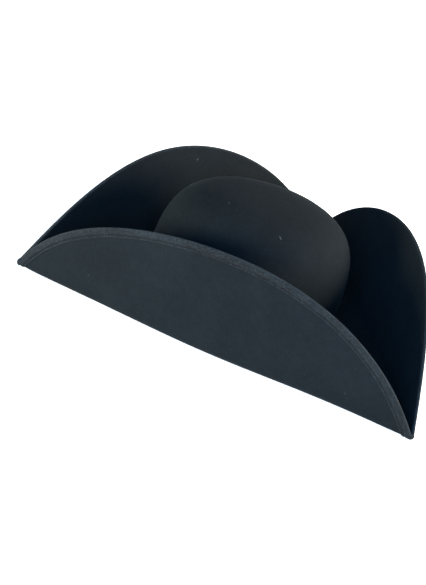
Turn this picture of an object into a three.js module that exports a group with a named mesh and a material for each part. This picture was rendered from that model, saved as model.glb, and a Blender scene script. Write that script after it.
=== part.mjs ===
// A three-cornered hat of plain black felt. One blocked felt makes the round crown and the wide brim.
// The brim is turned up in three flaps between three corners, and its edge is turned under, to the
// outside of the flaps, and stitched down as a hem. Nothing lines the hat: the head goes in from below.
// Millimetres, +Z up. The front corner points along -Y and the wearer's left is +X. The hat stands on
// the flat of its brim at Z = 0, and the origin is the middle of its outline there.
import * as THREE from 'three';

// Felt
const FELT = 1.8;                 // wall of the crown and the brim
const HEM_FELT = 1.2;             // wall of the turned edge, pressed thinner
const HEM_WIDTH = 9.5;            // from the rim to the stitched cut edge, along the felt
const HEM_CLEARANCE = 0.3;        // between the turned edge and the wall that it covers
const RIM_CUT = FELT + HEM_CLEARANCE;   // how far below the rim the wall's own edge stops

// Crown, measured inside, where the head goes
const HEAD_LENGTH = 204;
const HEAD_WIDTH = 167;
const CROWN_DEPTH = 120;
const CROWN_SQUARENESS = 3.7;     // 2 is a half ball, more is fuller at the shoulder
const CROWN_SLOPE = 1.4;          // degrees that the crown's top falls towards the back
const FOOT_RADIUS = 7;            // bend from the crown's wall out into the brim, under the brim
const FLAT_WIDTH = 5;             // level ring of brim round the foot, which the hat rests on

// Corners and flaps. The tables give shares of these sizes.
const CORNER_REACH = 236;         // from the middle of the crown to a corner
const CORNER_RADIUS = 2.2;        // round of a corner, seen from above: more than the felt and than its fold
const CORNER_HEIGHT = 4.8;        // of the rim at a corner
const CORNER_LIFT = 1.9;          // how far a corner stands off the table
const FLAP_HEIGHT = 112;
const FOLD_RADIUS = 13;           // bend from the flat of the brim up into a flap, in its middle
const CORNER_FOLD = 2.1;          // the same bend at a corner, more than the felt
const FOLD_POWER = 4;             // how near a corner the bend tightens: more is nearer
const LIFT_POWER = 16;            // how near a corner the brim lifts off the table
const FOLD_BULGE = 9;             // how far the fold bows out between two corners
const FOLD_SAG = 3.5;             // how much further it bows in the middle alone, fading up the flap
const SAG_POWER = 6;              // how short that stretch is: more is shorter
const FLAP_LEAN = 8;              // degrees that a flap leans out in its middle

// bearing is in degrees anticlockwise from +X, seen from above; lean is that of both flaps there
const CORNERS = [
  { name: 'front', bearing: -88.5, reach: 0.966, lift: 1.1, lean: 0.05 },
  { name: 'left', bearing: 33.8, reach: 1.027, lift: 0.9, lean: 0.00 },
  { name: 'right', bearing: 144.7, reach: 0.990, lift: 1.0, lean: 0.16 },
];

// A flap runs from its own row's corner to the next. fullStart and fullEnd say how blunt its edge comes
// down to each corner: 0 is a parabola, 1 an ellipse. peak and skew move its top and its bow along.
const FLAPS = [
  {
    name: 'left', height: 1.000, bulge: 1.20, skew: -0.62, sag: 1.0, lean: 0.63,
    fullStart: 0.952, fullEnd: 0.687, peak: 0.00,
  },
  {
    name: 'back', height: 1.028, bulge: 0.74, skew: 0.05, sag: 0.3, lean: 1.03,
    fullStart: 0.690, fullEnd: 0.771, peak: 0.05,
  },
  {
    name: 'right', height: 0.988, bulge: 0.90, skew: -0.50, sag: 0.4, lean: 1.50,
    fullStart: 0.715, fullEnd: 0.640, peak: 0.02,
  },
];

// How finely the felt is cut into faces
const FLAP_STEPS = 24;
const CORNER_STEPS = 4;
const END_CROWDING = 0.6;         // share by which the steps crowd towards a flap's two ends
const WALL_STEPS = 2;
const FOLD_STEPS = 4;
const FOOT_STEPS = 3;
const DOME_STEPS = 9;
const HEM_STEPS = 4;
const RIM_ROUND = 40;             // degrees up the rim's round at which its side points lie
const PATH_STEPS = 8;             // for measuring along the wall, and again round the fold

const FELT_COLOUR = 0x20262b;
const HEM_COLOUR = 0x2e3337;

const radians = THREE.MathUtils.degToRad;
const lerp = THREE.MathUtils.lerp;

// The brim's outline in plan

function cornerCentre(corner) {
  const distance = corner.reach * CORNER_REACH - CORNER_RADIUS;
  const angle = radians(corner.bearing);
  return new THREE.Vector2(Math.cos(angle), Math.sin(angle)).multiplyScalar(distance);
}

const flaps = FLAPS.map((row, i) => {
  const startCorner = CORNERS[i];
  const endCorner = CORNERS[(i + 1) % CORNERS.length];
  const start = cornerCentre(startCorner);
  const end = cornerCentre(endCorner);
  const along = end.clone().sub(start).normalize();
  return {
    ...row,
    startCorner,
    endCorner,
    along,
    middle: start.clone().add(end).multiplyScalar(0.5),
    half: start.distanceTo(end) / 2,
    outward: new THREE.Vector2(along.y, -along.x),
  };
});

// A station is one upright section of a flap or a corner. On a flap, place runs from -1 at its start
// to 1 at its end, and up from 0 at the fold to 1 at the rim.

function riseAt(flap, place) {
  const toPeak = place < flap.peak
    ? (flap.peak - place) / (1 + flap.peak)
    : (place - flap.peak) / (1 - flap.peak);
  const full = place < flap.peak ? flap.fullStart : flap.fullEnd;
  const foot = Math.sqrt(1 - full);
  return (Math.sqrt(1 - full * toPeak ** 2) - foot) / (1 - foot);
}

function flapStation(flap, place, up) {
  const bulge = (flap.bulge + flap.skew * place) * FOLD_BULGE;
  const sag = (1 - up) * flap.sag * FOLD_SAG;
  const inside = 1 - place ** 2;
  const bow = inside * bulge + inside ** SAG_POWER * sag;
  const slope = (inside * flap.skew * FOLD_BULGE - 2 * place * bulge
    - 2 * place * SAG_POWER * inside ** (SAG_POWER - 1) * sag) / flap.half;
  const corner = place < 0 ? flap.startCorner : flap.endCorner;
  const spine = flap.middle.clone()
    .addScaledVector(flap.along, place * flap.half)
    .addScaledVector(flap.outward, bow);
  return {
    spine,
    normal: flap.outward.clone().addScaledVector(flap.along, -slope).normalize(),
    height: lerp(CORNER_HEIGHT, flap.height * FLAP_HEIGHT, riseAt(flap, place)),
    fold: lerp(FOLD_RADIUS, CORNER_FOLD, place ** FOLD_POWER),
    lean: radians(FLAP_LEAN * lerp(flap.lean, corner.lean, place ** 2)),
    lift: corner.lift * CORNER_LIFT * place ** LIFT_POWER,
  };
}

function cornerStation(corner, normal) {
  return {
    spine: cornerCentre(corner),
    normal,
    height: CORNER_HEIGHT,
    fold: CORNER_FOLD,
    lean: radians(FLAP_LEAN * corner.lean),
    lift: corner.lift * CORNER_LIFT,
  };
}

// The felt's outer face at a height above its underside: round the fold, then straight up the flap.
function outerPoint(station, height) {
  const top = station.fold * (1 - Math.sin(station.lean));
  const round = Math.min(height, top);
  let out = Math.sqrt(Math.max(station.fold ** 2 - (station.fold - round) ** 2, 0)) - station.fold;
  out += Math.max(height - top, 0) * Math.tan(station.lean);
  const plan = station.spine.clone().addScaledVector(station.normal, CORNER_RADIUS + out);
  return new THREE.Vector3(plan.x, plan.y, station.lift + height);
}

// A column is one line across the felt, from the rim down the flap and round the fold to the flat.
// On the flat felt it would be a ray from the crown, so up the flap it slants towards the corner.

function flapColumn(flap, turn) {
  const half = Math.atan(flap.half / flap.outward.dot(flap.middle));
  const foldPlace = Math.tan(half * turn) / Math.tan(half);
  const rimPlace = Math.sin(half * turn) / Math.sin(half);
  const rimHeight = flapStation(flap, rimPlace, 1).height;
  const stationAt = (height) => {
    const up = height / rimHeight;
    return flapStation(flap, lerp(foldPlace, rimPlace, up), up);
  };
  return measuredColumn(stationAt, rimHeight);
}

function measuredColumn(stationAt, rimHeight) {
  const foot = stationAt(0);
  const foldTop = foot.fold * (1 - Math.sin(foot.lean));
  const points = [];
  for (let i = 0; i < PATH_STEPS; i += 1) {
    const height = lerp(rimHeight, foldTop, i / PATH_STEPS);
    points.push(outerPoint(stationAt(height), height));
  }
  for (let i = 0; i <= PATH_STEPS; i += 1) {
    const angle = (Math.PI / 2 - foot.lean) * (1 - i / PATH_STEPS);
    const height = foot.fold * (1 - Math.cos(angle));
    points.push(outerPoint(stationAt(height), height));
  }
  const lengths = [0];
  for (let i = 1; i < points.length; i += 1) {
    lengths.push(lengths[i - 1] + points[i].distanceTo(points[i - 1]));
  }
  return { points, lengths, wall: lengths[PATH_STEPS], whole: lengths[lengths.length - 1] };
}

function crowded(step, steps) {
  const even = (2 * step) / steps - 1;
  return lerp(even, Math.sin((Math.PI / 2) * even), END_CROWDING);
}

const columns = [];
flaps.forEach((flap, i) => {
  for (let step = 0; step <= FLAP_STEPS; step += 1) {
    columns.push(flapColumn(flap, crowded(step, FLAP_STEPS)));
  }
  const next = flaps[(i + 1) % flaps.length];
  const from = flapStation(flap, 1, 1).normal.angle();
  const to = flapStation(next, -1, 1).normal.angle();
  const sweep = THREE.MathUtils.euclideanModulo(to - from, 2 * Math.PI);
  for (let step = 1; step < CORNER_STEPS; step += 1) {
    const angle = from + (sweep * step) / CORNER_STEPS;
    const normal = new THREE.Vector2(Math.cos(angle), Math.sin(angle));
    columns.push(measuredColumn(() => cornerStation(flap.endCorner, normal), CORNER_HEIGHT));
  }
});

// The crown's oval at a distance out from its inner wall, in the direction of a plan point
function ovalPoint(towards, distance, height) {
  const width = HEAD_WIDTH / 2 + distance;
  const length = HEAD_LENGTH / 2 + distance;
  const direction = new THREE.Vector2(towards.x, towards.y).normalize();
  const scale = 1 / Math.hypot(direction.x / width, direction.y / length);
  return new THREE.Vector3(direction.x * scale, direction.y * scale, height);
}

// A point of a column at a distance in from the rim, on the flat too
function pointAlong(column, distance) {
  const { points, lengths } = column;
  const last = points.length - 1;
  if (distance > lengths[last]) {
    const flat = ovalPoint(points[last], FOOT_RADIUS + FLAT_WIDTH, 0);
    const step = flat.clone().sub(points[last]).normalize();
    return points[last].clone().addScaledVector(step, distance - lengths[last]);
  }
  const i = Math.max(1, lengths.findIndex((length) => length >= distance));
  return points[i - 1].clone().lerp(points[i], (distance - lengths[i - 1]) / (lengths[i] - lengths[i - 1]));
}

// Rows of points, one point for each column

function surfaceGeometry(rows, pole) {
  const positions = rows.flat();
  const count = rows[0].length;
  const index = [];
  for (let row = 0; row + 1 < rows.length; row += 1) {
    for (let column = 0; column < count; column += 1) {
      const next = (column + 1) % count;
      const a = row * count + column;
      const b = row * count + next;
      index.push(a, a + count, b, b, a + count, b + count);
    }
  }
  if (pole) {
    positions.push(pole);
    const base = (rows.length - 1) * count;
    for (let column = 0; column < count; column += 1) {
      index.push(base + column, positions.length - 1, base + ((column + 1) % count));
    }
  }
  const geometry = new THREE.BufferGeometry().setFromPoints(positions);
  geometry.setIndex(index);
  geometry.computeVertexNormals();
  return geometry;
}

function pushedOut(geometry, distance) {
  const position = geometry.getAttribute('position');
  const normal = geometry.getAttribute('normal');
  const points = [];
  for (let i = 0; i < position.count; i += 1) {
    const point = new THREE.Vector3().fromBufferAttribute(position, i);
    points.push(point.addScaledVector(new THREE.Vector3().fromBufferAttribute(normal, i), distance));
  }
  return points;
}

// The hem's leg is cut at these distances in from the rim, and so is the wall behind it.
function hemDistance(step) {
  return lerp(FELT, HEM_WIDTH, step / HEM_STEPS);
}

// The felt's outer face, as rows of points from the rim in to the crown's shoulder
function feltRows() {
  const rowAt = (distanceOf) => columns.map((column) => pointAlong(column, distanceOf(column)));
  const foldStart = (column) => Math.max(column.wall, HEM_WIDTH + FELT / 2);
  const foldEnd = (column) => Math.max(column.whole, foldStart(column) + FELT / 2);
  const rows = [rowAt(() => 0), rowAt(() => RIM_CUT)];
  for (let i = 1; i <= HEM_STEPS; i += 1) {
    rows.push(rowAt(() => hemDistance(i)));
  }
  for (let i = 1; i <= WALL_STEPS; i += 1) {
    rows.push(rowAt((column) => lerp(HEM_WIDTH, foldStart(column), i / WALL_STEPS)));
  }
  for (let i = 1; i <= FOLD_STEPS; i += 1) {
    rows.push(rowAt((column) => lerp(foldStart(column), foldEnd(column), i / FOLD_STEPS)));
  }
  const feet = columns.map((column) => column.points[column.points.length - 1]);
  rows.push(feet.map((foot) => ovalPoint(foot, FOOT_RADIUS + FLAT_WIDTH, 0)));
  for (let i = 0; i < FOOT_STEPS; i += 1) {
    const angle = ((Math.PI / 2) * i) / FOOT_STEPS;
    const out = FOOT_RADIUS * (1 - Math.sin(angle));
    const up = FOOT_RADIUS * (1 - Math.cos(angle));
    rows.push(feet.map((foot) => ovalPoint(foot, out, up)));
  }
  for (let i = 0; i < DOME_STEPS; i += 1) {
    const angle = ((Math.PI / 2) * i) / DOME_STEPS;
    const [across, up] = domeSection(angle);
    const fall = Math.tan(radians(CROWN_SLOPE)) * (up - FOOT_RADIUS) / (CROWN_DEPTH - FOOT_RADIUS);
    rows.push(feet.map((foot) => {
      const wall = ovalPoint(foot, 0, 0);
      return new THREE.Vector3(wall.x * across, wall.y * across, up - fall * wall.y * across);
    }));
  }
  return rows;
}

// The crown's inner section at an angle up from its foot: the share of its width, and the height
function domeSection(angle) {
  const power = CROWN_SQUARENESS;
  const scale = (Math.cos(angle) ** power + Math.sin(angle) ** power) ** (-1 / power);
  return [scale * Math.cos(angle), FOOT_RADIUS + (CROWN_DEPTH - FOOT_RADIUS) * scale * Math.sin(angle)];
}

function solidMesh(name, points, index, colour) {
  const geometry = new THREE.BufferGeometry().setFromPoints(points);
  geometry.setIndex(index);
  const material = new THREE.MeshStandardMaterial({ color: colour, roughness: 0.95, metalness: 0 });
  const mesh = new THREE.Mesh(geometry, material);
  mesh.name = name;
  return mesh;
}

// Crown and brim: the outer face, the same face pushed in by the felt, and a strip round the cut rim
function feltBody() {
  const outer = surfaceGeometry(feltRows(), new THREE.Vector3(0, 0, CROWN_DEPTH));
  const ring = columns.length;
  const outerPoints = pushedOut(outer, 0).slice(ring);
  const innerPoints = pushedOut(outer, -FELT).slice(ring);
  const count = outerPoints.length;
  const face = Array.from(outer.getIndex().array).map((corner) => corner - ring);
  const index = [];
  for (let i = 0; i < face.length; i += 3) {
    const [a, b, c] = face.slice(i, i + 3);
    if (Math.min(a, b, c) >= 0) {
      index.push(a, b, c, a + count, c + count, b + count);
    }
  }
  for (let column = 0; column < ring; column += 1) {
    const next = (column + 1) % ring;
    index.push(column, next, next + count, column, next + count, column + count);
  }
  return solidMesh('felt_body', [...outerPoints, ...innerPoints], index, FELT_COLOUR);
}

// The turned edge: a round rim that caps the wall's cut edge, and a leg down its outer face. The section
// goes round once, with a row of the leg and a distance out from the wall's outer face.
function turnedHem() {
  const round = FELT * (1 - Math.sin(radians(RIM_ROUND)));
  const inwards = [0, round];
  for (let i = 0; i <= HEM_STEPS; i += 1) {
    inwards.push(hemDistance(i));
  }
  inwards.push(HEM_WIDTH + FELT);
  const rowAt = (distance) => columns.map((column) => pointAlong(column, distance));
  const face = surfaceGeometry(inwards.map(rowAt));

  const outside = HEM_CLEARANCE + HEM_FELT;
  const rimMiddle = (outside - FELT) / 2;
  const rimSpread = ((outside + FELT) / 2) * Math.cos(radians(RIM_ROUND));
  const legRows = inwards.slice(2, -1).map((_, i) => i + 2);
  const section = [
    ...legRows.toReversed().map((row) => ({ row, out: outside })),
    { row: 1, out: rimMiddle + rimSpread },
    { row: 0, out: rimMiddle },
    { row: 1, out: rimMiddle - rimSpread },
    { row: 2, out: -FELT },
    ...legRows.map((row) => ({ row, out: HEM_CLEARANCE })),
  ];
  const ring = columns.length;
  const rings = section.map(({ row, out }) => pushedOut(face, out).slice(row * ring, (row + 1) * ring));
  const index = [];
  rings.forEach((_, i) => {
    const lower = i * ring;
    const upper = ((i + 1) % rings.length) * ring;
    for (let column = 0; column < ring; column += 1) {
      const next = (column + 1) % ring;
      index.push(lower + column, lower + next, upper + column, lower + next, upper + next, upper + column);
    }
  });
  return solidMesh('turned_hem', rings.flat(), index, HEM_COLOUR);
}

const hat = new THREE.Group();
hat.name = 'tricorn_hat';
hat.add(feltBody(), turnedHem());

// The origin goes to the middle of the outline, on the plane that the hat stands on.
const outline = new THREE.Box3().setFromObject(hat);
const middle = outline.getCenter(new THREE.Vector3());
hat.position.set(-middle.x, -middle.y, 0);
hat.updateMatrixWorld(true);

export default hat;
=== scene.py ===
"""A three-cornered hat of plain black wool felt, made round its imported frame.

The felt's crown and brim, the turned hem, the stitches and the lint are made here as fine meshes, from
the same sizes and the same tables of shares as the part's own source, in metres. The frame gives the
hat's place: the outline of its turned edge.
"""

import math
from collections import namedtuple
from functools import lru_cache

import bmesh
import bpy
import numpy as np
from bpy.props import FloatProperty, FloatVectorProperty, IntProperty, PointerProperty
from bpy.types import Operator, Panel, PropertyGroup
from mathutils import Matrix, Vector
from mathutils.bvhtree import BVHTree


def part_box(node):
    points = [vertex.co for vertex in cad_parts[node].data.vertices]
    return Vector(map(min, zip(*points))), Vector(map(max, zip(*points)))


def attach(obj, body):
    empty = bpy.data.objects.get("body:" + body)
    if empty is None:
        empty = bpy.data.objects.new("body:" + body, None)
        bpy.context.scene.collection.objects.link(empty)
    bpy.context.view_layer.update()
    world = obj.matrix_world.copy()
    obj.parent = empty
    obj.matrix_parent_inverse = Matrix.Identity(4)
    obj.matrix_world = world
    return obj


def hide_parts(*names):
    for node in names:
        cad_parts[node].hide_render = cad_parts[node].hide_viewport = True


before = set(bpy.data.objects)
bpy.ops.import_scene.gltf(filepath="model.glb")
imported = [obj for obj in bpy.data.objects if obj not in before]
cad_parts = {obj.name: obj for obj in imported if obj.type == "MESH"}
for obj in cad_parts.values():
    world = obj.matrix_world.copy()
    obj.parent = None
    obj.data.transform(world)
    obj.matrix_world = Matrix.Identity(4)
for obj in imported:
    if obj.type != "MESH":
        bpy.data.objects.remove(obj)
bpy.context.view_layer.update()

bl_info = {
    "name": "Tricorn hat",
    "version": (1, 0, 0),
    "blender": (4, 5, 0),
    "location": "View3D > Sidebar > Hat",
    "description": "A three-cornered felt hat with a turned and stitched edge",
    "category": "Object",
}

MM = 0.001
PHOTO_SIZE = (426, 585)  # pixels across and down, in which the specks' places are given

# Shares of the brim's named sizes. A corner's bearing is in degrees from +X; its lean is a share too.
Corner = namedtuple("Corner", "name bearing reach lift lean")
CORNERS = (
    Corner("front", -88.5, 0.966, 1.1, 0.05),
    Corner("left", 33.8, 1.027, 0.9, 0.00),
    Corner("right", 144.7, 0.990, 1.0, 0.16),
)

# A flap runs from its own row's corner to the next. full_start and full_end say how blunt its edge
# comes down to each corner: 0 is a parabola, 1 an ellipse. peak is the place of its highest point, from
# -1 at its start to 1 at its end.
Flap = namedtuple("Flap", "name height bulge skew sag lean full_start full_end peak")
FLAPS = (
    Flap("left", 1.000, 1.20, -0.62, 1.0, 0.63, 0.952, 0.687, 0.00),
    Flap("back", 1.028, 0.74, 0.05, 0.3, 1.03, 0.690, 0.771, 0.05),
    Flap("right", 0.988, 0.90, -0.50, 0.4, 1.50, 0.715, 0.640, 0.02),
)

# Specks of lint: the pixel where the photograph shows each, its length and width in millimetres, and its
# turn in the picture in degrees
Speck = namedtuple("Speck", "x y length width turn")
SPECKS = (
    Speck(229.0, 203.0, 3.4, 0.7, 15),
    Speck(280.3, 238.0, 4.6, 1.5, 18),
    Speck(197.5, 159.5, 3.0, 1.4, -30),
    Speck(88.7, 275.3, 1.7, 0.4, 25),
    Speck(344.8, 393.4, 1.8, 0.5, 10),
)

# Lamps: the bearing and height of each in degrees as seen from the hat, its distance and size in metres,
# its power in watts and its colour
Lamp = namedtuple("Lamp", "name bearing elevation distance size power colour")
LAMPS = (
    Lamp("left_window", -62, 4, 1.5, 0.6, 64, (1.00, 0.87, 0.62)),
    Lamp("right_window", 76, 18, 1.5, 0.9, 74, (1.00, 0.88, 0.74)),
    Lamp("fill", -24, 27, 1.5, 1.0, 32, (0.12, 0.40, 0.84)),
)


def length(name, description, default):
    """A property for a size in metres."""
    return FloatProperty(name=name, description=description, default=default, min=0.0, unit="LENGTH",
                         precision=5)


def colour(name, description, default):
    """A property for a linear colour."""
    return FloatVectorProperty(name=name, description=description, default=default, size=3,
                               min=0.0, max=1.0, subtype="COLOR")


class HatFelt(PropertyGroup):
    felt: length("Felt", "Wall of the crown and the brim", 1.8 * MM)
    hem_felt: length("Hem felt", "Wall of the turned edge", 1.2 * MM)
    hem_width: length("Hem width", "From the rim to the cut edge, along the felt", 9.5 * MM)
    hem_clearance: length("Hem clearance", "Between the turned edge and the wall", 0.3 * MM)
    seam_inset: length("Seam inset", "From the cut edge in to the line of stitches", 2.5 * MM)
    seam_depth: length("Seam depth", "How deep the stitches draw the felt in", 0.5 * MM)
    seam_spread: length("Seam spread", "Half the width of the drawn-in groove", 1.1 * MM)
    inner_seam_depth: length("Inner seam depth", "The same depth on the flaps' inner face", 0.12 * MM)


class HatCrown(PropertyGroup):
    head_length: length("Head length", "Inside the crown, front to back", 204 * MM)
    head_width: length("Head width", "Inside the crown, side to side", 167 * MM)
    depth: length("Crown depth", "Inside, from the brim to the top", 120 * MM)
    foot_radius: length("Foot radius", "Bend from the crown out into the brim", 7 * MM)
    flat_width: length("Flat width", "Level ring of brim round the foot", 5 * MM)
    squareness: FloatProperty(name="Squareness", description="2 is a half ball, more is fuller",
                              default=3.7, min=2.0, max=8.0)
    slope: FloatProperty(name="Slope", description="How far the top falls towards the back",
                         default=math.radians(1.4), subtype="ANGLE")


class HatBrim(PropertyGroup):
    corner_reach: length("Corner reach", "From the crown's middle to a corner", 236 * MM)
    corner_radius: length("Corner radius", "Round of a corner, seen from above: more than its fold", 2.2 * MM)
    corner_height: length("Corner height", "Of the rim at a corner", 4.8 * MM)
    corner_lift: length("Corner lift", "How far a corner stands off the table", 1.9 * MM)
    flap_height: length("Flap height", "Of a flap's rim at its top", 112 * MM)
    fold_radius: length("Fold radius", "Bend up into a flap in its middle", 13 * MM)
    corner_fold: length("Corner fold", "The same bend at a corner: more than the felt", 2.1 * MM)
    fold_power: IntProperty(name="Fold power", description="How near a corner the bend tightens", default=4,
                            min=2)
    lift_power: IntProperty(name="Lift power", description="How near a corner the brim lifts off the table",
                            default=16, min=2)
    fold_bulge: length("Fold bulge", "How far the fold bows out between corners", 9 * MM)
    fold_sag: length("Fold sag", "How much further it bows in the middle alone, fading up the flap", 3.5 * MM)
    sag_power: FloatProperty(name="Sag power", description="How short that stretch is", default=6.0, min=1.0)
    flap_lean: FloatProperty(name="Flap lean", description="How far a flap leans out in its middle",
                             default=math.radians(8), subtype="ANGLE")


class HatFineness(PropertyGroup):
    flap_steps: IntProperty(name="Flap steps", description="Columns along a flap", default=128, min=8)
    corner_steps: IntProperty(name="Corner steps", description="Columns round a corner", default=14, min=3)
    wall_steps: IntProperty(name="Wall steps", description="Rows up a flap", default=14, min=2)
    fold_steps: IntProperty(name="Fold steps", description="Rows round the fold", default=8, min=2)
    foot_steps: IntProperty(name="Foot steps", description="Rows round the crown's foot", default=6, min=2)
    dome_steps: IntProperty(name="Dome steps", description="Rows up the crown", default=34, min=6)
    path_steps: IntProperty(name="Path steps", description="For measuring along the felt", default=20, min=4)


class HatStitch(PropertyGroup):
    pitch: length("Pitch", "From one stitch to the next", 3.1 * MM)
    stitch_length: length("Stitch length", "The part of a stitch that shows", 2.3 * MM)
    thread: length("Thread", "Thickness of the thread", 0.5 * MM)
    sink: length("Sink", "How deep a stitch lies in the felt", 0.16 * MM)
    inner_sink: length("Inner sink", "The same depth on the flaps' inner face", 0.36 * MM)


class HatColours(PropertyGroup):
    felt: colour("Felt", "The felt's smooth side", (0.0049, 0.0072, 0.0087))
    felt_reverse: colour("Felt's reverse", "The rougher side that is turned over", (0.0072, 0.0085, 0.0094))
    nap: colour("Nap", "Wool ends that catch the light", (0.026, 0.034, 0.039))
    thread: colour("Thread", "The sewing thread", (0.010, 0.013, 0.015))
    lint: colour("Lint", "Specks of lint on the felt", (0.034, 0.040, 0.043))
    floor: colour("Floor", "The pale floor", (0.80, 0.80, 0.80))
    sky: colour("Sky", "Light from all round", (0.42, 0.56, 0.66))


class HatStage(PropertyGroup):
    azimuth: FloatProperty(name="Azimuth", description="Which way the camera looks",
                           default=math.radians(70.44), subtype="ANGLE")
    elevation: FloatProperty(name="Elevation", description="How far above level it stands",
                             default=math.radians(27.31), subtype="ANGLE")
    roll: FloatProperty(name="Roll", description="How far the picture is turned",
                        default=math.radians(19.64), subtype="ANGLE")
    distance: length("Distance", "From the camera to its aim", 1.296)
    aim: FloatVectorProperty(name="Aim", description="What it looks at, from the crown's middle",
                             default=(-7.96 * MM, -23.37 * MM, 1.76 * MM), subtype="XYZ")
    lens: FloatProperty(name="Lens", description="Focal length in millimetres", default=77.4)
    floor_radius: length("Floor radius", "Of the round floor", 6.0)
    sky_strength: FloatProperty(name="Sky strength", description="Of the light all round", default=0.50)
    floor_glow: FloatProperty(name="Floor glow", description="Of the lit floor itself", default=0.80)


def mix(start, end, share):
    return start + (end - start) * share


# The brim's shape. A station is one upright section of a flap or a corner.

Station = namedtuple("Station", "spine normal height fold lean lift")


def corner_centre(brim, corner):
    """The middle of a corner's round, seen from above."""
    angle = math.radians(corner.bearing)
    distance = corner.reach * brim.corner_reach - brim.corner_radius
    return Vector((math.cos(angle), math.sin(angle))) * distance


class FlapLine:
    """A flap between two corners. A place on it runs from -1 at its start to 1 at its end, and up from
    0 at the fold to 1 at the rim."""

    def __init__(self, brim, row, start_corner, end_corner):
        start = corner_centre(brim, start_corner)
        end = corner_centre(brim, end_corner)
        self.brim = brim
        self.row = row
        self.corners = (start_corner, end_corner)
        self.middle = (start + end) / 2
        self.half = (end - start).length / 2
        self.along = (end - start).normalized()
        self.outward = Vector((self.along.y, -self.along.x))

    def rise(self, place):
        """The rim's height at a place: 0 at the corners and 1 at the peak."""
        peak = self.row.peak
        to_peak = (peak - place) / (1 + peak) if place < peak else (place - peak) / (1 - peak)
        full = self.row.full_start if place < peak else self.row.full_end
        foot = math.sqrt(1 - full)
        return (math.sqrt(max(1 - full * to_peak ** 2, 0)) - foot) / (1 - foot)

    def station(self, place, up):
        brim = self.brim
        row = self.row
        power = brim.sag_power
        bulge = (row.bulge + row.skew * place) * brim.fold_bulge
        sag = (1 - up) * row.sag * brim.fold_sag
        inside = max(1 - place ** 2, 0.0)
        bow = inside * bulge + inside ** power * sag
        slope = inside * row.skew * brim.fold_bulge - 2 * place * bulge
        slope = (slope - 2 * place * power * inside ** (power - 1) * sag) / self.half
        corner = self.corners[0] if place < 0 else self.corners[1]
        return Station(
            spine=self.middle + self.along * (place * self.half) + self.outward * bow,
            normal=(self.outward - self.along * slope).normalized(),
            height=mix(brim.corner_height, row.height * brim.flap_height, self.rise(place)),
            fold=mix(brim.fold_radius, brim.corner_fold, abs(place) ** brim.fold_power),
            lean=brim.flap_lean * mix(row.lean, corner.lean, place ** 2),
            lift=corner.lift * brim.corner_lift * abs(place) ** brim.lift_power,
        )


def corner_station(brim, corner, normal):
    return Station(corner_centre(brim, corner), normal, brim.corner_height, brim.corner_fold,
                   brim.flap_lean * corner.lean, corner.lift * brim.corner_lift)


def outer_point(brim, station, height):
    """The felt's outer face at a height above its underside: round the fold, then up the flap."""
    top = station.fold * (1 - math.sin(station.lean))
    bend = min(height, top)
    out = math.sqrt(max(station.fold ** 2 - (station.fold - bend) ** 2, 0)) - station.fold
    out += max(height - top, 0) * math.tan(station.lean)
    plan = station.spine + station.normal * (brim.corner_radius + out)
    return Vector((plan.x, plan.y, station.lift + height))


class Column:
    """A line across the felt, from the rim down the flap and round the fold to the flat."""

    def __init__(self, brim, steps, station_at, rim_height):
        foot = station_at(0)
        fold_top = foot.fold * (1 - math.sin(foot.lean))
        heights = [mix(rim_height, fold_top, i / steps) for i in range(steps)]
        for i in range(steps + 1):
            angle = (math.pi / 2 - foot.lean) * (1 - i / steps)
            heights.append(foot.fold * (1 - math.cos(angle)))
        self.points = [outer_point(brim, station_at(height), height) for height in heights]
        self.lengths = [0.0]
        for before, after in zip(self.points, self.points[1:]):
            self.lengths.append(self.lengths[-1] + (after - before).length)
        self.wall = self.lengths[steps]
        self.whole = self.lengths[-1]

    def point(self, distance, flat_point):
        """The point at a distance in from the rim, on the flat too."""
        if distance > self.whole:
            step = (flat_point - self.points[-1]).normalized()
            return self.points[-1] + step * (distance - self.whole)
        i = next((i for i, reached in enumerate(self.lengths) if reached >= distance and i), 1)
        share = (distance - self.lengths[i - 1]) / (self.lengths[i] - self.lengths[i - 1])
        return self.points[i - 1].lerp(self.points[i], share)


def flap_column(brim, flap, turn, steps):
    """On the flat felt a column is a ray from the crown, so up the flap it slants to the corner."""
    half = math.atan(flap.half / flap.outward.dot(flap.middle))
    fold_place = math.tan(half * turn) / math.tan(half)
    rim_place = math.sin(half * turn) / math.sin(half)
    rim_height = flap.station(rim_place, 1).height

    def station_at(height):
        up = height / rim_height
        return flap.station(mix(fold_place, rim_place, up), up)

    return Column(brim, steps, station_at, rim_height)


END_CROWDING = 0.6  # share by which the columns crowd towards a flap's two ends


@lru_cache(maxsize=None)
def brim_columns(scene):
    """The columns of the whole brim, flap by flap and corner by corner. The felt body makes them anew."""
    brim = scene.hat_brim
    fine = scene.hat_fineness
    flaps = []
    for i, row in enumerate(FLAPS):
        flaps.append(FlapLine(brim, row, CORNERS[i], CORNERS[(i + 1) % len(CORNERS)]))
    columns = []
    for i, flap in enumerate(flaps):
        for step in range(fine.flap_steps + 1):
            even = 2 * step / fine.flap_steps - 1
            turn = mix(even, math.sin(math.pi / 2 * even), END_CROWDING)
            columns.append(flap_column(brim, flap, turn, fine.path_steps))
        corner = flap.corners[1]
        start = flap.station(1, 1).normal
        end = flaps[(i + 1) % len(flaps)].station(-1, 1).normal
        start_angle = math.atan2(start.y, start.x)
        sweep = (math.atan2(end.y, end.x) - start_angle) % (2 * math.pi)
        for step in range(1, fine.corner_steps):
            angle = start_angle + sweep * step / fine.corner_steps
            station = corner_station(brim, corner, Vector((math.cos(angle), math.sin(angle))))
            columns.append(Column(brim, fine.path_steps, lambda height, s=station: s, brim.corner_height))
    return columns


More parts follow.
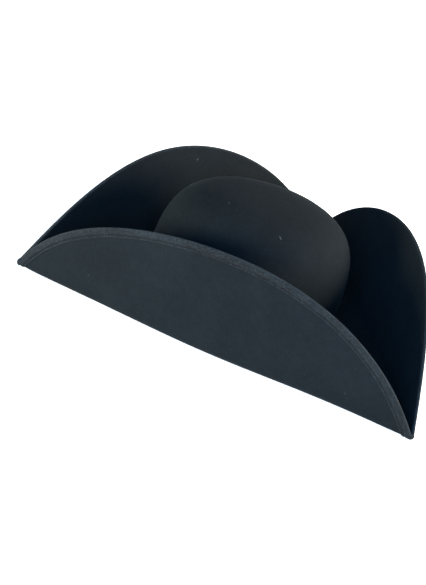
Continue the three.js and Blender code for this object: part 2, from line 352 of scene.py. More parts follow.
def oval_point(crown, towards, distance, height):
    """The crown's oval at a distance out from its inner wall, in the direction of a plan point."""
    half_width = crown.head_width / 2 + distance
    half_length = crown.head_length / 2 + distance
    direction = Vector((towards.x, towards.y)).normalized()
    scale = 1 / math.hypot(direction.x / half_width, direction.y / half_length)
    return Vector((direction.x * scale, direction.y * scale, height))


def row_at(scene, columns, distance_of):
    """One closed row of points, at each column's distance in from the rim."""
    crown = scene.hat_crown
    row = []
    for column in columns:
        flat = oval_point(crown, column.points[-1], crown.foot_radius + crown.flat_width, 0)
        row.append(column.point(distance_of(column), flat))
    return row


def face_rows(scene, columns, depths):
    """Rows of the felt's outer face, each at one depth in from the rim all the way round."""
    return np.array([[tuple(point) for point in row_at(scene, columns, lambda column, d=depth: d)]
                     for depth in depths])


SHORTEST = 1e-12  # a normal shorter than this has no direction
WELD = 1e-6       # metres within which points are joined


def grid_normals(rows):
    """Outward normals of a face made of closed rows of points."""
    across = np.roll(rows, -1, axis=1)
    first = np.cross(rows[1:] - rows[:-1], across[:-1] - rows[:-1])
    second = np.cross(rows[1:] - across[:-1], across[1:] - across[:-1])
    normals = np.zeros_like(rows)
    normals[:-1] += first + np.roll(first + second, 1, axis=1)
    normals[1:] += first + second + np.roll(second, 1, axis=1)
    return normals / np.maximum(np.linalg.norm(normals, axis=2, keepdims=True), SHORTEST)


def grid_mesh(name, rows, ring, values):
    """A closed mesh from closed rows. ring joins the last row to the first. values are attributes."""
    count = rows.shape[1]
    mesh = bpy.data.meshes.new(name)
    faces = []
    for row in range(len(rows) if ring else len(rows) - 1):
        start = row * count
        upper = (row + 1) % len(rows) * count
        for column in range(count):
            next_column = (column + 1) % count
            faces.append((start + column, upper + column, upper + next_column, start + next_column))
    mesh.from_pydata(rows.reshape(-1, 3).tolist(), [], faces)
    for key, array in values.items():
        attribute = mesh.attributes.new(key, "FLOAT", "POINT")
        attribute.data.foreach_set("value", np.ascontiguousarray(array, dtype=np.float32).ravel())
    work = bmesh.new()
    work.from_mesh(mesh)
    bmesh.ops.remove_doubles(work, verts=work.verts, dist=WELD)
    work.to_mesh(mesh)
    work.free()
    mesh.shade_smooth()
    return mesh


def place_piece(name, mesh, material):
    """An object at the origin that rides on the hat's one body."""
    piece = bpy.data.objects.new(name, mesh)
    bpy.context.collection.objects.link(piece)
    if material:
        mesh.materials.clear()
        mesh.materials.append(material)
    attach(piece, "root")
    return piece


def crown_middle(scene):
    """The crown's middle on the table, which puts the fine hem's outline on the frame's."""
    shell, _ = hem_shell(scene)
    low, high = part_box("turned_hem")
    plan = (shell.reshape(-1, 3).min(axis=0) + shell.reshape(-1, 3).max(axis=0)) / 2
    return Vector(((low[0] + high[0]) / 2 - plan[0], (low[1] + high[1]) / 2 - plan[1], 0.0))


def bell(distance, middle, spread):
    """1 at the middle, falling away smoothly to both sides."""
    return np.exp(-((distance - middle) / spread) ** 2)


# Materials

def new_group(name, inputs, outputs, tree_type="ShaderNodeTree"):
    """A node group with named sockets. Each is a name and a socket type, an input with its default."""
    group = bpy.data.node_groups.new(name, tree_type)
    for label, socket_type, default in inputs:
        socket = group.interface.new_socket(label, in_out="INPUT", socket_type=socket_type)
        if default is not None:
            socket.default_value = default
    for label, socket_type in outputs:
        group.interface.new_socket(label, in_out="OUTPUT", socket_type=socket_type)
    start = group.nodes.new("NodeGroupInput")
    end = group.nodes.new("NodeGroupOutput")
    return group, start, end


def feed(tree, node, inputs):
    """Links each of a node's inputs from a socket, or sets it to a value."""
    for key, value in inputs.items():
        if isinstance(value, bpy.types.NodeSocket):
            tree.links.new(value, node.inputs[key])
        else:
            node.inputs[key].default_value = value


def add_node(tree, kind, inputs=None, **settings):
    """A node with its settings, then its inputs."""
    node = tree.nodes.new(kind)
    for key, value in settings.items():
        setattr(node, key, value)
    feed(tree, node, inputs or {})
    return node


def object_place(tree):
    """The place on the piece, on which every pattern lies."""
    return add_node(tree, "ShaderNodeTexCoord").outputs["Object"]


def math_node(tree, operation, first, second=0.0, clamp=False):
    return add_node(tree, "ShaderNodeMath", {0: first, 1: second}, operation=operation,
                    use_clamp=clamp).outputs[0]


MIX_COLOURS = (6, 7)  # the two colours among a Mix node's inputs, which share their names with others
MIX_RESULT = 2        # its colour among the outputs


def mix_colours(tree, factor, first, second):
    inputs = {"Factor": factor}
    for index, value in zip(MIX_COLOURS, (first, second)):
        inputs[index] = value if isinstance(value, bpy.types.NodeSocket) else (*value, 1.0)
    return add_node(tree, "ShaderNodeMix", inputs, data_type="RGBA").outputs[MIX_RESULT]


def map_range(tree, value, low, high, to_low=0.0, to_high=1.0):
    inputs = {"Value": value, "From Min": low, "From Max": high, "To Min": to_low, "To Max": to_high}
    return add_node(tree, "ShaderNodeMapRange", inputs, interpolation_type="SMOOTHSTEP").outputs[0]


def noise(tree, vector, per_metre, detail=2.0, roughness=0.5, distortion=0.0):
    inputs = {"Vector": vector, "Scale": per_metre, "Detail": detail, "Roughness": roughness,
              "Distortion": distortion}
    return add_node(tree, "ShaderNodeTexNoise", inputs).outputs["Fac"]


def blend_values(tree, first, second, first_part):
    """Two values added, the first by its part and the second by the rest."""
    return math_node(tree, "ADD", math_node(tree, "MULTIPLY", first, first_part),
                     math_node(tree, "MULTIPLY", second, 1 - first_part))


def darker(tint, share):
    return tuple(channel * share for channel in tint)


PATCH_PART = 0.65  # of the wool's cloudiness, in large patches; the rest is small clouds
GRAIN_PART = 0.6   # of its fine relief, in the grain; the rest is fibres
CLUMP_RISE = 1.5   # how high the clumps stand over that relief


def felted_wool_group():
    """Matted wool: cloudy patches, a fine grain of fibres, and pale fibre ends."""
    group, start, end = new_group(
        "felted_wool",
        [("Felt", "NodeSocketColor", (0.01, 0.01, 0.01, 1)),
         ("Nap", "NodeSocketColor", (0.04, 0.04, 0.04, 1)),
         ("Patchiness", "NodeSocketFloat", 0.2),
         ("Fibres", "NodeSocketFloat", 0.3),
         ("Clumps", "NodeSocketFloat", 0.1),
         ("Grain per metre", "NodeSocketFloat", 1400.0)],
        [("Color", "NodeSocketColor"), ("Roughness", "NodeSocketFloat"), ("Height", "NodeSocketFloat")],
    )
    place = object_place(group)
    patches = noise(group, place, per_metre=22.0, detail=4.0, roughness=0.55, distortion=0.4)
    clouds = noise(group, place, per_metre=140.0, detail=3.0, roughness=0.6)
    grain = noise(group, place, start.outputs["Grain per metre"], detail=3.0, roughness=0.65, distortion=1.2)
    stretched = add_node(group, "ShaderNodeMapping", {"Vector": place, "Scale": (1.0, 0.22, 0.35),
                                                      "Rotation": (0.5, 0.3, 0.9)}).outputs[0]
    crossed = add_node(group, "ShaderNodeMapping", {"Vector": place, "Scale": (0.25, 1.0, 0.30),
                                                    "Rotation": (0.2, 0.8, 0.4)}).outputs[0]
    strands = noise(group, stretched, per_metre=2300.0, detail=2.0, roughness=0.6, distortion=0.8)
    crossing = noise(group, crossed, per_metre=2000.0, detail=2.0, roughness=0.6, distortion=0.8)
    fibres = math_node(group, "MAXIMUM", map_range(group, strands, low=0.55, high=0.75),
                       map_range(group, crossing, low=0.57, high=0.77))
    clumps = noise(group, place, per_metre=640.0, detail=3.0, roughness=0.7, distortion=0.6)
    uneven = blend_values(group, patches, clouds, PATCH_PART)
    patch_share = math_node(group, "MULTIPLY", map_range(group, uneven, low=0.35, high=0.68),
                            start.outputs["Patchiness"])
    fibre_share = math_node(group, "MULTIPLY", fibres, start.outputs["Fibres"])
    clump_share = math_node(group, "MULTIPLY", map_range(group, clumps, low=0.44, high=0.66),
                            start.outputs["Clumps"])
    patches_and_fibres = math_node(group, "ADD", patch_share, fibre_share)
    share = math_node(group, "ADD", patches_and_fibres, clump_share, clamp=True)
    result = mix_colours(group, share, start.outputs["Felt"], start.outputs["Nap"])
    fine = blend_values(group, grain, fibres, GRAIN_PART)
    height = math_node(group, "ADD", fine, math_node(group, "MULTIPLY", clump_share, CLUMP_RISE))
    roughness = map_range(group, grain, low=0.2, high=0.8, to_low=0.98, to_high=0.86)
    feed(group, end, {"Color": result, "Roughness": roughness, "Height": height})
    return group


def rubbed_edge_group():
    """A mask of where handling has raised the felt: the outermost rim, in broken stretches."""
    group, start, end = new_group(
        "rubbed_edge",
        [("Amount", "NodeSocketFloat", 0.5), ("Reach", "NodeSocketFloat", 0.002)],
        [("Mask", "NodeSocketFloat")],
    )
    distance = add_node(group, "ShaderNodeAttribute", attribute_name="rim_distance").outputs["Fac"]
    near_rim = map_range(group, distance, low=start.outputs["Reach"], high=0.0)
    stretches = noise(group, object_place(group), per_metre=90.0, detail=4.0, roughness=0.6)
    broken = map_range(group, stretches, low=0.30, high=0.62, to_low=0.35)
    mask = math_node(group, "MULTIPLY", math_node(group, "MULTIPLY", near_rim, broken),
                     start.outputs["Amount"], clamp=True)
    feed(group, end, {"Mask": mask})
    return group


def seam_press_and_shade_group():
    """A mask of the groove that the stitches draw in, for painted shade in the groove and for the felt that
    is pressed flat and dull there.
    """
    group, start, end = new_group("seam_press_and_shade", [("Amount", "NodeSocketFloat", 0.5)],
                                  [("Mask", "NodeSocketFloat")])
    seam = add_node(group, "ShaderNodeAttribute", attribute_name="seam").outputs["Fac"]
    stretches = noise(group, object_place(group), per_metre=55.0, detail=3.0)
    patchy = map_range(group, stretches, low=0.35, high=0.65, to_low=0.45)
    mask = math_node(group, "MULTIPLY", math_node(group, "MULTIPLY", seam, patchy),
                     start.outputs["Amount"], clamp=True)
    feed(group, end, {"Mask": mask})
    return group


def add_group(tree, name, make, inputs):
    """A node of a shared group, which is made the first time that it is asked for."""
    group = bpy.data.node_groups.get(name) or make()
    return add_node(tree, "ShaderNodeGroup", inputs, node_tree=group)


def new_material(name):
    material = bpy.data.materials.new(name)
    material.use_nodes = True
    return material, material.node_tree, material.node_tree.nodes["Principled BSDF"]


# A side of the felt: shares of pale patches, fibres and clumps, how fine its grain is for each metre, how
# strongly its edge is rubbed, how dark its groove is painted (painted shade in the groove, with the felt
# pressed there), its relief and its sheen
FeltLook = namedtuple("FeltLook", "patchiness fibres clumps grain edge groove bump sheen")
SMOOTH_SIDE = FeltLook(0.08, 0.22, 0.06, 1300.0, 0.15, 0.15, 0.35, 0.02)
ROUGH_SIDE = FeltLook(0.25, 0.35, 0.50, 900.0, 0.50, 0.55, 0.60, 0.03)


def felt_material(name, colours, base, look):
    """Felt over its whole surface, paler where it is rubbed, and darker in the seam's groove: painted shade
    there, with the felt pressed flat.
    """
    material, tree, shader = new_material(name)
    wool = add_group(tree, "felted_wool", felted_wool_group, {
        "Felt": (*base, 1.0),
        "Nap": (*colours.nap, 1.0),
        "Patchiness": look.patchiness,
        "Fibres": look.fibres,
        "Clumps": look.clumps,
        "Grain per metre": look.grain,
    })
    rubbed = add_group(tree, "rubbed_edge", rubbed_edge_group, {"Amount": look.edge})
    shade = mix_colours(tree, rubbed.outputs["Mask"], wool.outputs["Color"], tuple(colours.nap))
    # Painted shade: the seam's groove is darkened towards a third of the felt's colour, along with the felt
    # pressed flat there
    pressed = add_group(tree, "seam_press_and_shade", seam_press_and_shade_group, {"Amount": look.groove})
    shade = mix_colours(tree, pressed.outputs["Mask"], shade, darker(base, 0.3))
    relief = add_node(tree, "ShaderNodeBump", {"Height": wool.outputs["Height"], "Strength": look.bump,
                                               "Distance": 0.35 * MM})
    feed(tree, shader, {
        "Base Color": shade,
        "Roughness": wool.outputs["Roughness"],
        "Normal": relief.outputs["Normal"],
        "Specular IOR Level": 0.05,
        "Sheen Weight": look.sheen,
        "Sheen Roughness": 0.45,
        "Sheen Tint": (0.72, 0.85, 0.92, 1.0),
    })
    return material


def thread_material(colours):
    """Spun thread, with a twist that shows as slanting bands."""
    material, tree, shader = new_material("sewing_thread")
    twist = noise(tree, object_place(tree), per_metre=2600.0, detail=1.0, distortion=0.6)
    bands = map_range(tree, twist, low=0.35, high=0.6)
    shade = mix_colours(tree, bands, darker(colours.thread, 0.45), tuple(colours.thread))
    relief = add_node(tree, "ShaderNodeBump", {"Height": twist, "Strength": 0.6, "Distance": 0.1 * MM})
    feed(tree, shader, {"Base Color": shade, "Normal": relief.outputs["Normal"], "Roughness": 0.85,
                        "Specular IOR Level": 0.1})
    return material


def lint_material(colours):
    """Dusty fluff, unevenly pale."""
    material, tree, shader = new_material("lint")
    wisps = noise(tree, object_place(tree), per_metre=1500.0, detail=2.0)
    shade = mix_colours(tree, wisps, darker(colours.lint, 0.5), tuple(colours.lint))
    feed(tree, shader, {"Base Color": shade, "Roughness": 0.95})
    return material


def floor_material(colours, glow):
    """A plain pale floor, itself a little lit."""
    material, tree, shader = new_material("pale_floor")
    clouds = noise(tree, object_place(tree), per_metre=1.5, detail=3.0)
    shade = mix_colours(tree, clouds, tuple(colours.floor), darker(colours.floor, 0.97))
    feed(tree, shader, {"Base Color": shade, "Roughness": 0.9, "Specular IOR Level": 0.1,
                        "Emission Color": (1.0, 1.0, 1.0, 1.0), "Emission Strength": glow})
    return material


# The felt's crown and brim

HEM_ROWS = 12  # rows of the felt under the turned edge, apart from three in the seam's groove
FAR = 1.0      # metres from the rim, for what lies nowhere near it


def felt_distances(scene):
    """Functions that give a column's distance in from the rim, one for each row of the brim."""
    felt = scene.hat_felt
    fine = scene.hat_fineness
    seam = felt.hem_width - felt.seam_inset
    beside_seam = felt.seam_spread / 3
    fixed = [mix(felt.felt, felt.hem_width, i / HEM_ROWS) for i in range(HEM_ROWS)]
    fixed += [seam - beside_seam, seam, seam + beside_seam]
    distances = [lambda column, d=d: d for d in sorted(fixed)]

    def fold_start(column):
        return max(column.wall, felt.hem_width + felt.felt / 2)

    def fold_end(column):
        return max(column.whole, fold_start(column) + felt.felt / 2)

    for i in range(fine.wall_steps + 1):
        share = i / fine.wall_steps
        distances.append(lambda column, s=share: mix(felt.hem_width, fold_start(column), s))
    for i in range(1, fine.fold_steps + 1):
        share = i / fine.fold_steps
        distances.append(lambda column, s=share: mix(fold_start(column), fold_end(column), s))
    return distances


def dome_section(crown, angle):
    """The crown's inner section at an angle up from its foot: the share of its width, and the height."""
    power = crown.squareness
    scale = (math.cos(angle) ** power + math.sin(angle) ** power) ** (-1 / power)
    up = crown.foot_radius + (crown.depth - crown.foot_radius) * scale * math.sin(angle)
    return scale * math.cos(angle), up


def crown_rows(scene, feet):
    """Rows from the level ring round the crown's foot to its top."""
    crown = scene.hat_crown
    fine = scene.hat_fineness
    rows = [[oval_point(crown, foot, crown.foot_radius + crown.flat_width, 0) for foot in feet]]
    for i in range(fine.foot_steps):
        angle = math.pi / 2 * i / fine.foot_steps
        out = crown.foot_radius * (1 - math.sin(angle))
        up = crown.foot_radius * (1 - math.cos(angle))
        rows.append([oval_point(crown, foot, out, up) for foot in feet])
    for i in range(fine.dome_steps):
        across, up = dome_section(crown, math.pi / 2 * i / fine.dome_steps)
        fall = math.tan(crown.slope) * (up - crown.foot_radius) / (crown.depth - crown.foot_radius)
        wall = [oval_point(crown, foot, 0, 0) * across for foot in feet]
        rows.append([Vector((point.x, point.y, up - fall * point.y)) for point in wall])
    rows.append([Vector((0, 0, crown.depth)) for _ in feet])
    return rows


class HAT_OT_felt_body(Operator):
    """Makes the crown and the brim with its three flaps, one felt"""

    bl_idname = "hat.felt_body"
    bl_label = "Felt crown and brim"

    def execute(self, context):
        # The other pieces fit this one, so what they share is worked out anew from the sizes as they are
        brim_columns.cache_clear()
        hem_shell.cache_clear()
        scene = context.scene
        felt = scene.hat_felt
        columns = brim_columns(scene)
        distances = felt_distances(scene)
        rows = [row_at(scene, columns, distance) for distance in distances]
        rows += crown_rows(scene, [column.points[-1] for column in columns])
        outer = np.array([[tuple(point) for point in row] for row in rows])
        normals = grid_normals(outer)
        normals[-1] = (0, 0, -1)  # the last row is one point, the inside of the crown's top
        from_rim = np.full(outer.shape[:2], FAR)
        for i, distance in enumerate(distances):
            from_rim[i] = [distance(column) for column in columns]
        seam = bell(from_rim, felt.hem_width - felt.seam_inset, felt.seam_spread)
        wall = felt.felt - felt.inner_seam_depth * seam
        inner = outer - normals * wall[:, :, None]
        shell = np.concatenate([inner[::-1], outer]) + np.array(crown_middle(scene))
        # The seam attribute also drives the painted shade in the groove, in the felt's material
        values = {"rim_distance": np.concatenate([from_rim[::-1], from_rim]),
                  "seam": np.concatenate([seam[::-1], seam])}
        mesh = grid_mesh("felt_body_fine", shell, False, values)
        colours = scene.hat_colours
        material = felt_material("black_felt", colours, colours.felt, SMOOTH_SIDE)
        piece = place_piece("felt_crown_and_brim", mesh, material)
        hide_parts("felt_body")
        return {"FINISHED"}


# The turned edge

UNDER_HEM = 0.04 * MM                     # between the turned edge's underside and the wall
LEG_ROWS = 16                             # rows down the turned edge
ROUND_ROWS = 14                           # rows over the rim
PRESSED_LEG = 0.82                        # how thick the edge stays past the seam, as a share
PILLOW = 0.10                             # how far it swells above the seam, as a share of its felt
EDGE_ROUND = 0.35                         # how wide the round of its cut edge is, as the same share
CUT_EDGE = ((0.0, 0.35), (0.3, 0.62))     # points of that round: shares of its width, and of its height
FACE_DIGITS = 7                           # decimals of a metre that tell the rows of the face apart


def hem_section(felt):
    """The hem's section, once round: how far in from the rim, and how far out from the wall's face."""
    outside = felt.hem_clearance + felt.hem_felt
    middle = (outside - felt.felt) / 2
    spread = (outside + felt.felt) / 2
    seam = felt.hem_width - felt.seam_inset
    edge_round = EDGE_ROUND * felt.hem_felt
    section = [(felt.hem_width, UNDER_HEM)]
    section += [(felt.hem_width - edge_round * inward, outside * out) for inward, out in CUT_EDGE]
    for i in range(LEG_ROWS + 1):
        distance = mix(felt.hem_width - edge_round, felt.felt, i / LEG_ROWS)
        share = (distance - felt.felt) / (seam - felt.felt)
        puff = PILLOW * felt.hem_felt * math.sin(math.pi * min(max(share, 0.0), 1.0))
        pressed = PRESSED_LEG if distance > seam else 1.0
        drawn = felt.seam_depth * bell(distance, seam, felt.seam_spread)
        section.append((distance, outside * pressed + puff - drawn))
    for i in range(1, ROUND_ROWS):
        angle = math.pi * i / ROUND_ROWS
        section.append((felt.felt * (1 - math.sin(angle)), middle + spread * math.cos(angle)))
    section.append((felt.felt, -felt.felt))
    section.append((felt.felt, UNDER_HEM))
    return section


@lru_cache(maxsize=None)
def hem_shell(scene):
    """The turned edge round the crown's middle, as closed rows, and each row's distance from the rim."""
    felt = scene.hat_felt
    columns = brim_columns(scene)
    section = hem_section(felt)
    depths = sorted({0.0, felt.hem_width + felt.felt, *(round(d, FACE_DIGITS) for d, _ in section)})
    face = face_rows(scene, columns, depths)
    normals = grid_normals(face)
    rows = []
    for distance, out in section:
        row = depths.index(round(distance, FACE_DIGITS))
        rows.append(face[row] + normals[row] * out)
    return np.array(rows), [distance for distance, _ in section]


class HAT_OT_turned_hem(Operator):
    """Makes the brim's edge, turned over to the outside of the flaps"""

    bl_idname = "hat.turned_hem"
    bl_label = "Turned hem"

    def execute(self, context):
        scene = context.scene
        felt = scene.hat_felt
        shell, distances = hem_shell(scene)
        shell = shell + np.array(crown_middle(scene))
        from_rim = np.repeat(np.array(distances)[:, None], shell.shape[1], axis=1)
        # The seam attribute drives the painted shade in the groove, in the felt's material
        values = {"rim_distance": from_rim,
                  "seam": bell(from_rim, felt.hem_width - felt.seam_inset, felt.seam_spread)}
        mesh = grid_mesh("turned_hem_fine", shell, True, values)
        colours = scene.hat_colours
        material = felt_material("felt_reverse", colours, colours.felt_reverse, ROUGH_SIDE)
        piece = place_piece("turned_edge", mesh, material)
        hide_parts("turned_hem")
        return {"FINISHED"}


# Stitches

RANDOM_LOW, RANDOM_HIGH = 2, 3  # a Random Value node's limits among its inputs, for plain numbers
RANDOM_RESULT = 1               # its plain number among the outputs


def stitch_tree(stitch, material):
    """Geometry Nodes: a stitch at each step of a line, drawn out along it and laid on the felt."""
    tree, start, end = new_group(
        "stitches",
        [("Geometry", "NodeSocketGeometry", None),
         ("Pitch", "NodeSocketFloat", stitch.pitch),
         ("Stitch length", "NodeSocketFloat", stitch.stitch_length),
         ("Thread", "NodeSocketFloat", stitch.thread),
         ("Unevenness", "NodeSocketFloat", 0.12),
         ("Seed", "NodeSocketInt", 4)],
        [("Geometry", "NodeSocketGeometry")],
        tree_type="GeometryNodeTree",
    )
    line = add_node(tree, "GeometryNodeMeshToCurve", {"Mesh": start.outputs["Geometry"]})
    steps = add_node(tree, "GeometryNodeResampleCurve",
                     {"Curve": line.outputs["Curve"], "Length": start.outputs["Pitch"]}, mode="LENGTH")
    tangent = add_node(tree, "GeometryNodeInputTangent").outputs["Tangent"]
    out = add_node(tree, "GeometryNodeInputNamedAttribute", {"Name": "felt_out"},
                   data_type="FLOAT_VECTOR").outputs["Attribute"]
    upright = add_node(tree, "FunctionNodeAlignRotationToVector", {"Vector": out}, axis="Z")
    turned = add_node(tree, "FunctionNodeAlignRotationToVector",
                      {"Rotation": upright.outputs["Rotation"], "Vector": tangent}, axis="X",
                      pivot_axis="Z")
    ball = add_node(tree, "GeometryNodeMeshUVSphere", {"Segments": 8, "Rings": 5, "Radius": 0.5})
    shortest = math_node(tree, "SUBTRACT", 1.0, start.outputs["Unevenness"])
    uneven = add_node(tree, "FunctionNodeRandomValue",
                      {"Seed": start.outputs["Seed"], RANDOM_LOW: shortest, RANDOM_HIGH: 1.0},
                      data_type="FLOAT").outputs[RANDOM_RESULT]
    long_way = math_node(tree, "MULTIPLY", start.outputs["Stitch length"], uneven)
    size = add_node(tree, "ShaderNodeCombineXYZ", {"X": long_way, "Y": start.outputs["Thread"],
                                                   "Z": start.outputs["Thread"]}).outputs[0]
    placed = add_node(tree, "GeometryNodeInstanceOnPoints",
                      {"Points": steps.outputs["Curve"], "Instance": ball.outputs["Mesh"],
                       "Rotation": turned.outputs["Rotation"], "Scale": size})
    real = add_node(tree, "GeometryNodeRealizeInstances", {"Geometry": placed.outputs["Instances"]})
    smooth = add_node(tree, "GeometryNodeSetShadeSmooth", {"Geometry": real.outputs["Geometry"]})
    dyed = add_node(tree, "GeometryNodeSetMaterial", {"Geometry": smooth.outputs["Geometry"],
                                                      "Material": material})
    feed(tree, end, {"Geometry": dyed.outputs["Geometry"]})
    return tree


def made_plain(holder, name):
    """The holder's evaluated shape as a plain mesh. The holder and its modifier are removed."""
    depsgraph = bpy.context.evaluated_depsgraph_get()
    mesh = bpy.data.meshes.new_from_object(holder.evaluated_get(depsgraph), depsgraph=depsgraph)
    mesh.name = name
    line = holder.data
    bpy.data.objects.remove(holder)
    bpy.data.meshes.remove(line)
    return mesh


def seam_lines(scene):
    """The two lines of stitches, on the hem and on the flaps' inner face, with the felt's way out."""
    felt = scene.hat_felt
    stitch = scene.hat_stitch
    seam = felt.hem_width - felt.seam_inset
    columns = brim_columns(scene)
    depths = (seam - felt.felt / 4, seam, seam + felt.felt / 4)
    face = face_rows(scene, columns, depths)
    normals = grid_normals(face)[1]
    line = face[1] + np.array(crown_middle(scene))
    on_hem = felt.hem_clearance + felt.hem_felt - felt.seam_depth
    on_flap = felt.felt - felt.inner_seam_depth
    half = stitch.thread / 2
    return ((line + normals * (on_hem + half - stitch.sink), normals),
            (line - normals * (on_flap + half - stitch.inner_sink), -normals))


class HAT_OT_stitches(Operator):
    """Sews the turned edge down, with a line of stitches on each face"""

    bl_idname = "hat.stitches"
    bl_label = "Stitches"

    def execute(self, context):
        scene = context.scene
        stitch = scene.hat_stitch
        material = thread_material(scene.hat_colours)
        points, outs, edges = [], [], []
        for line, out in seam_lines(scene):
            first = len(points)
            count = len(line)
            points += line.tolist()
            outs += out.tolist()
            edges += [(first + i, first + (i + 1) % count) for i in range(count)]
        mesh = bpy.data.meshes.new("seam_lines")
        mesh.from_pydata(points, edges, [])
        attribute = mesh.attributes.new("felt_out", "FLOAT_VECTOR", "POINT")
        attribute.data.foreach_set("vector", np.array(outs, dtype=np.float32).ravel())
        holder = bpy.data.objects.new("seam_lines", mesh)
        context.collection.objects.link(holder)
        modifier = holder.modifiers.new("stitches", "NODES")
        modifier.node_group = stitch_tree(stitch, material)
        values = {"Pitch": stitch.pitch, "Stitch length": stitch.stitch_length, "Thread": stitch.thread}
        for item in modifier.node_group.interface.items_tree:
            if item.item_type == "SOCKET" and item.in_out == "INPUT" and item.name in values:
                modifier[item.identifier] = values[item.name]
        plain = made_plain(holder, "stitches_fine")
        place_piece("stitches", plain, None)
        return {"FINISHED"}


# Lint

def camera_axes(stage):
    """The camera's right, up and backward directions, with the picture's roll."""
    azimuth, elevation, roll = stage.azimuth, stage.elevation, stage.roll
    right = Vector((math.cos(azimuth), math.sin(azimuth), 0))
    view = Vector((-math.sin(azimuth) * math.cos(elevation), math.cos(azimuth) * math.cos(elevation),
                   -math.sin(elevation)))
    up = right.cross(view)
    side = right * math.cos(roll) + up * math.sin(roll)
    top = up * math.cos(roll) - right * math.sin(roll)
    return side, top, -view


def camera_place(scene):
    """Where the camera stands."""
    stage = scene.hat_stage
    return crown_middle(scene) + Vector(stage.aim) + camera_axes(stage)[2] * stage.distance


SENSOR = 36.0  # millimetres, along the picture's long side


def pixel_ray(stage, x, y):
    """The direction in which the camera sees a pixel of the photograph."""
    side, top, back = camera_axes(stage)
    scale = SENSOR / stage.lens / max(PHOTO_SIZE)
    across = (x - PHOTO_SIZE[0] / 2) * scale
    down = (y - PHOTO_SIZE[1] / 2) * scale
    return (side * across - top * down - back).normalized()


LINT_RISE = 0.35     # millimetres that a speck stands off the felt
LINT_RAGGED = 0.22   # how far its outline goes in and out, as a share
LINT_WAVES = (5, 7)  # how often it does so, along and across
LINT_BEND = 0.35     # how far its ends are drawn to one side, as a share


def lint_shape(work, place, normal, along, speck, seed):
    """A flat, ragged tuft: a squashed ball whose points are drawn about."""
    across = normal.cross(along).normalized()
    turned = Matrix((along, across, normal)).transposed()
    size = Vector((speck.length / 2, speck.width / 2, LINT_RISE)) * MM
    made = bmesh.ops.create_icosphere(work, subdivisions=3, radius=1.0)
    for vertex in made["verts"]:
        co = vertex.co
        waves = math.sin(LINT_WAVES[0] * co.x + seed) * math.cos(LINT_WAVES[1] * co.y + 2 * seed)
        drawn = co.y + LINT_BEND * co.x ** 2 * math.sin(seed)
        bent = Vector((co.x, drawn, co.z)) * (1 + LINT_RAGGED * waves)
        vertex.co = place + turned @ Vector((bent.x * size.x, bent.y * size.y, bent.z * size.z))


class HAT_OT_lint(Operator):
    """Lays the few specks of lint that show on the felt"""

    bl_idname = "hat.lint"
    bl_label = "Specks of lint"

    def execute(self, context):
        stage = context.scene.hat_stage
        felt_mesh = bpy.data.objects["felt_crown_and_brim"].data
        tree = BVHTree.FromPolygons([v.co for v in felt_mesh.vertices],
                                    [tuple(p.vertices) for p in felt_mesh.polygons])
        origin = camera_place(context.scene)
        up = camera_axes(stage)[1]
        work = bmesh.new()
        for seed, speck in enumerate(SPECKS):
            place, normal, _, _ = tree.ray_cast(origin, pixel_ray(stage, speck.x, speck.y))
            if place is None:
                raise RuntimeError(f"no felt under the speck at {speck.x}, {speck.y}")
            along = (up - normal * up.dot(normal)).normalized()
            along = Matrix.Rotation(math.radians(speck.turn), 3, normal) @ along
            lint_shape(work, place, normal, along, speck, seed)
        mesh = bpy.data.meshes.new("lint_fine")
        work.to_mesh(mesh)
        work.free()
        mesh.shade_smooth()
        place_piece("lint", mesh, lint_material(context.scene.hat_colours))
        return {"FINISHED"}


# Stage

def add_lamp(lamp):
    """A round soft lamp that shines at the middle of the hat's foot."""
    bearing, elevation = math.radians(lamp.bearing), math.radians(lamp.elevation)
    way = Vector((math.cos(bearing) * math.cos(elevation), math.sin(bearing) * math.cos(elevation),
                  math.sin(elevation)))
    data = bpy.data.lights.new(lamp.name, "AREA")
    data.shape = "DISK"
    data.size = lamp.size
    data.energy = lamp.power
    data.color = lamp.colour
    piece = bpy.data.objects.new(lamp.name, data)
    piece.location = way * lamp.distance
    piece.rotation_euler = way.to_track_quat("Z", "Y").to_euler()
    bpy.context.collection.objects.link(piece)


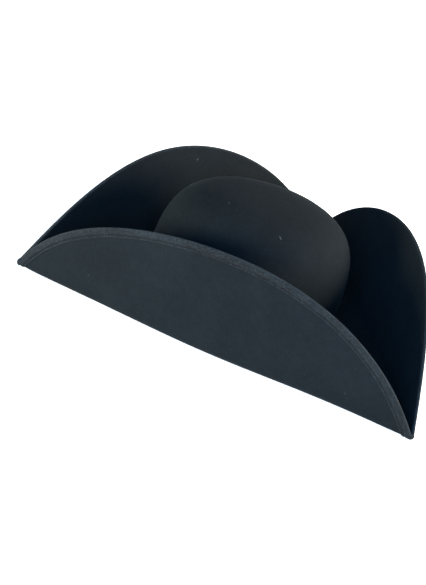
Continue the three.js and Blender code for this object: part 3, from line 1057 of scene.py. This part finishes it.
class HAT_OT_stage(Operator):
    """Sets the floor, the lamps and the camera"""

    bl_idname = "hat.stage"
    bl_label = "Stage"

    def execute(self, context):
        scene = context.scene
        stage = scene.hat_stage
        work = bmesh.new()
        bmesh.ops.create_circle(work, cap_ends=True, segments=96, radius=stage.floor_radius)
        mesh = bpy.data.meshes.new("floor")
        work.to_mesh(mesh)
        work.free()
        mesh.materials.append(floor_material(scene.hat_colours, stage.floor_glow))
        floor = bpy.data.objects.new("floor", mesh)
        scene.collection.objects.link(floor)
        for lamp in LAMPS:
            add_lamp(lamp)

        world = bpy.data.worlds.new("sky")
        world.use_nodes = True
        feed(world.node_tree, world.node_tree.nodes["Background"],
             {"Color": (*scene.hat_colours.sky, 1.0), "Strength": stage.sky_strength})
        scene.world = world

        camera = bpy.data.objects.new("camera", bpy.data.cameras.new("camera"))
        camera.data.lens = stage.lens
        camera.data.sensor_width = SENSOR
        side, top, back = camera_axes(stage)
        turned = Matrix((side, top, back)).transposed().to_4x4()
        camera.matrix_world = Matrix.Translation(camera_place(scene)) @ turned
        scene.collection.objects.link(camera)
        scene.camera = camera
        scene.view_settings.view_transform = "Standard"
        return {"FINISHED"}


class HAT_PT_panel(Panel):
    """Lists the hat's sizes, colours and pieces in the sidebar"""

    bl_label = "Tricorn hat"
    bl_idname = "HAT_PT_panel"
    bl_space_type = "VIEW_3D"
    bl_region_type = "UI"
    bl_category = "Hat"

    def draw(self, context):
        layout = self.layout
        for holder, group in GROUPS.items():
            box = layout.box()
            box.label(text=group.__name__)
            for name in group.__annotations__:
                box.prop(getattr(context.scene, holder), name)
        for operator in OPERATORS:
            layout.operator(operator.bl_idname)


GROUPS = {
    "hat_felt": HatFelt,
    "hat_crown": HatCrown,
    "hat_brim": HatBrim,
    "hat_fineness": HatFineness,
    "hat_stitch": HatStitch,
    "hat_colours": HatColours,
    "hat_stage": HatStage,
}
OPERATORS = (HAT_OT_felt_body, HAT_OT_turned_hem, HAT_OT_stitches, HAT_OT_lint, HAT_OT_stage)


def register():
    for cls in (*GROUPS.values(), *OPERATORS, HAT_PT_panel):
        bpy.utils.register_class(cls)
    for holder, group in GROUPS.items():
        setattr(bpy.types.Scene, holder, PointerProperty(type=group))


def unregister():
    for holder in GROUPS:
        delattr(bpy.types.Scene, holder)
    for cls in reversed((*GROUPS.values(), *OPERATORS, HAT_PT_panel)):
        bpy.utils.unregister_class(cls)


def main():
    register()
    bpy.ops.hat.felt_body()
    bpy.ops.hat.turned_hem()
    bpy.ops.hat.stitches()
    bpy.ops.hat.lint()
    bpy.ops.hat.stage()


if __name__ == "__main__":
    main()
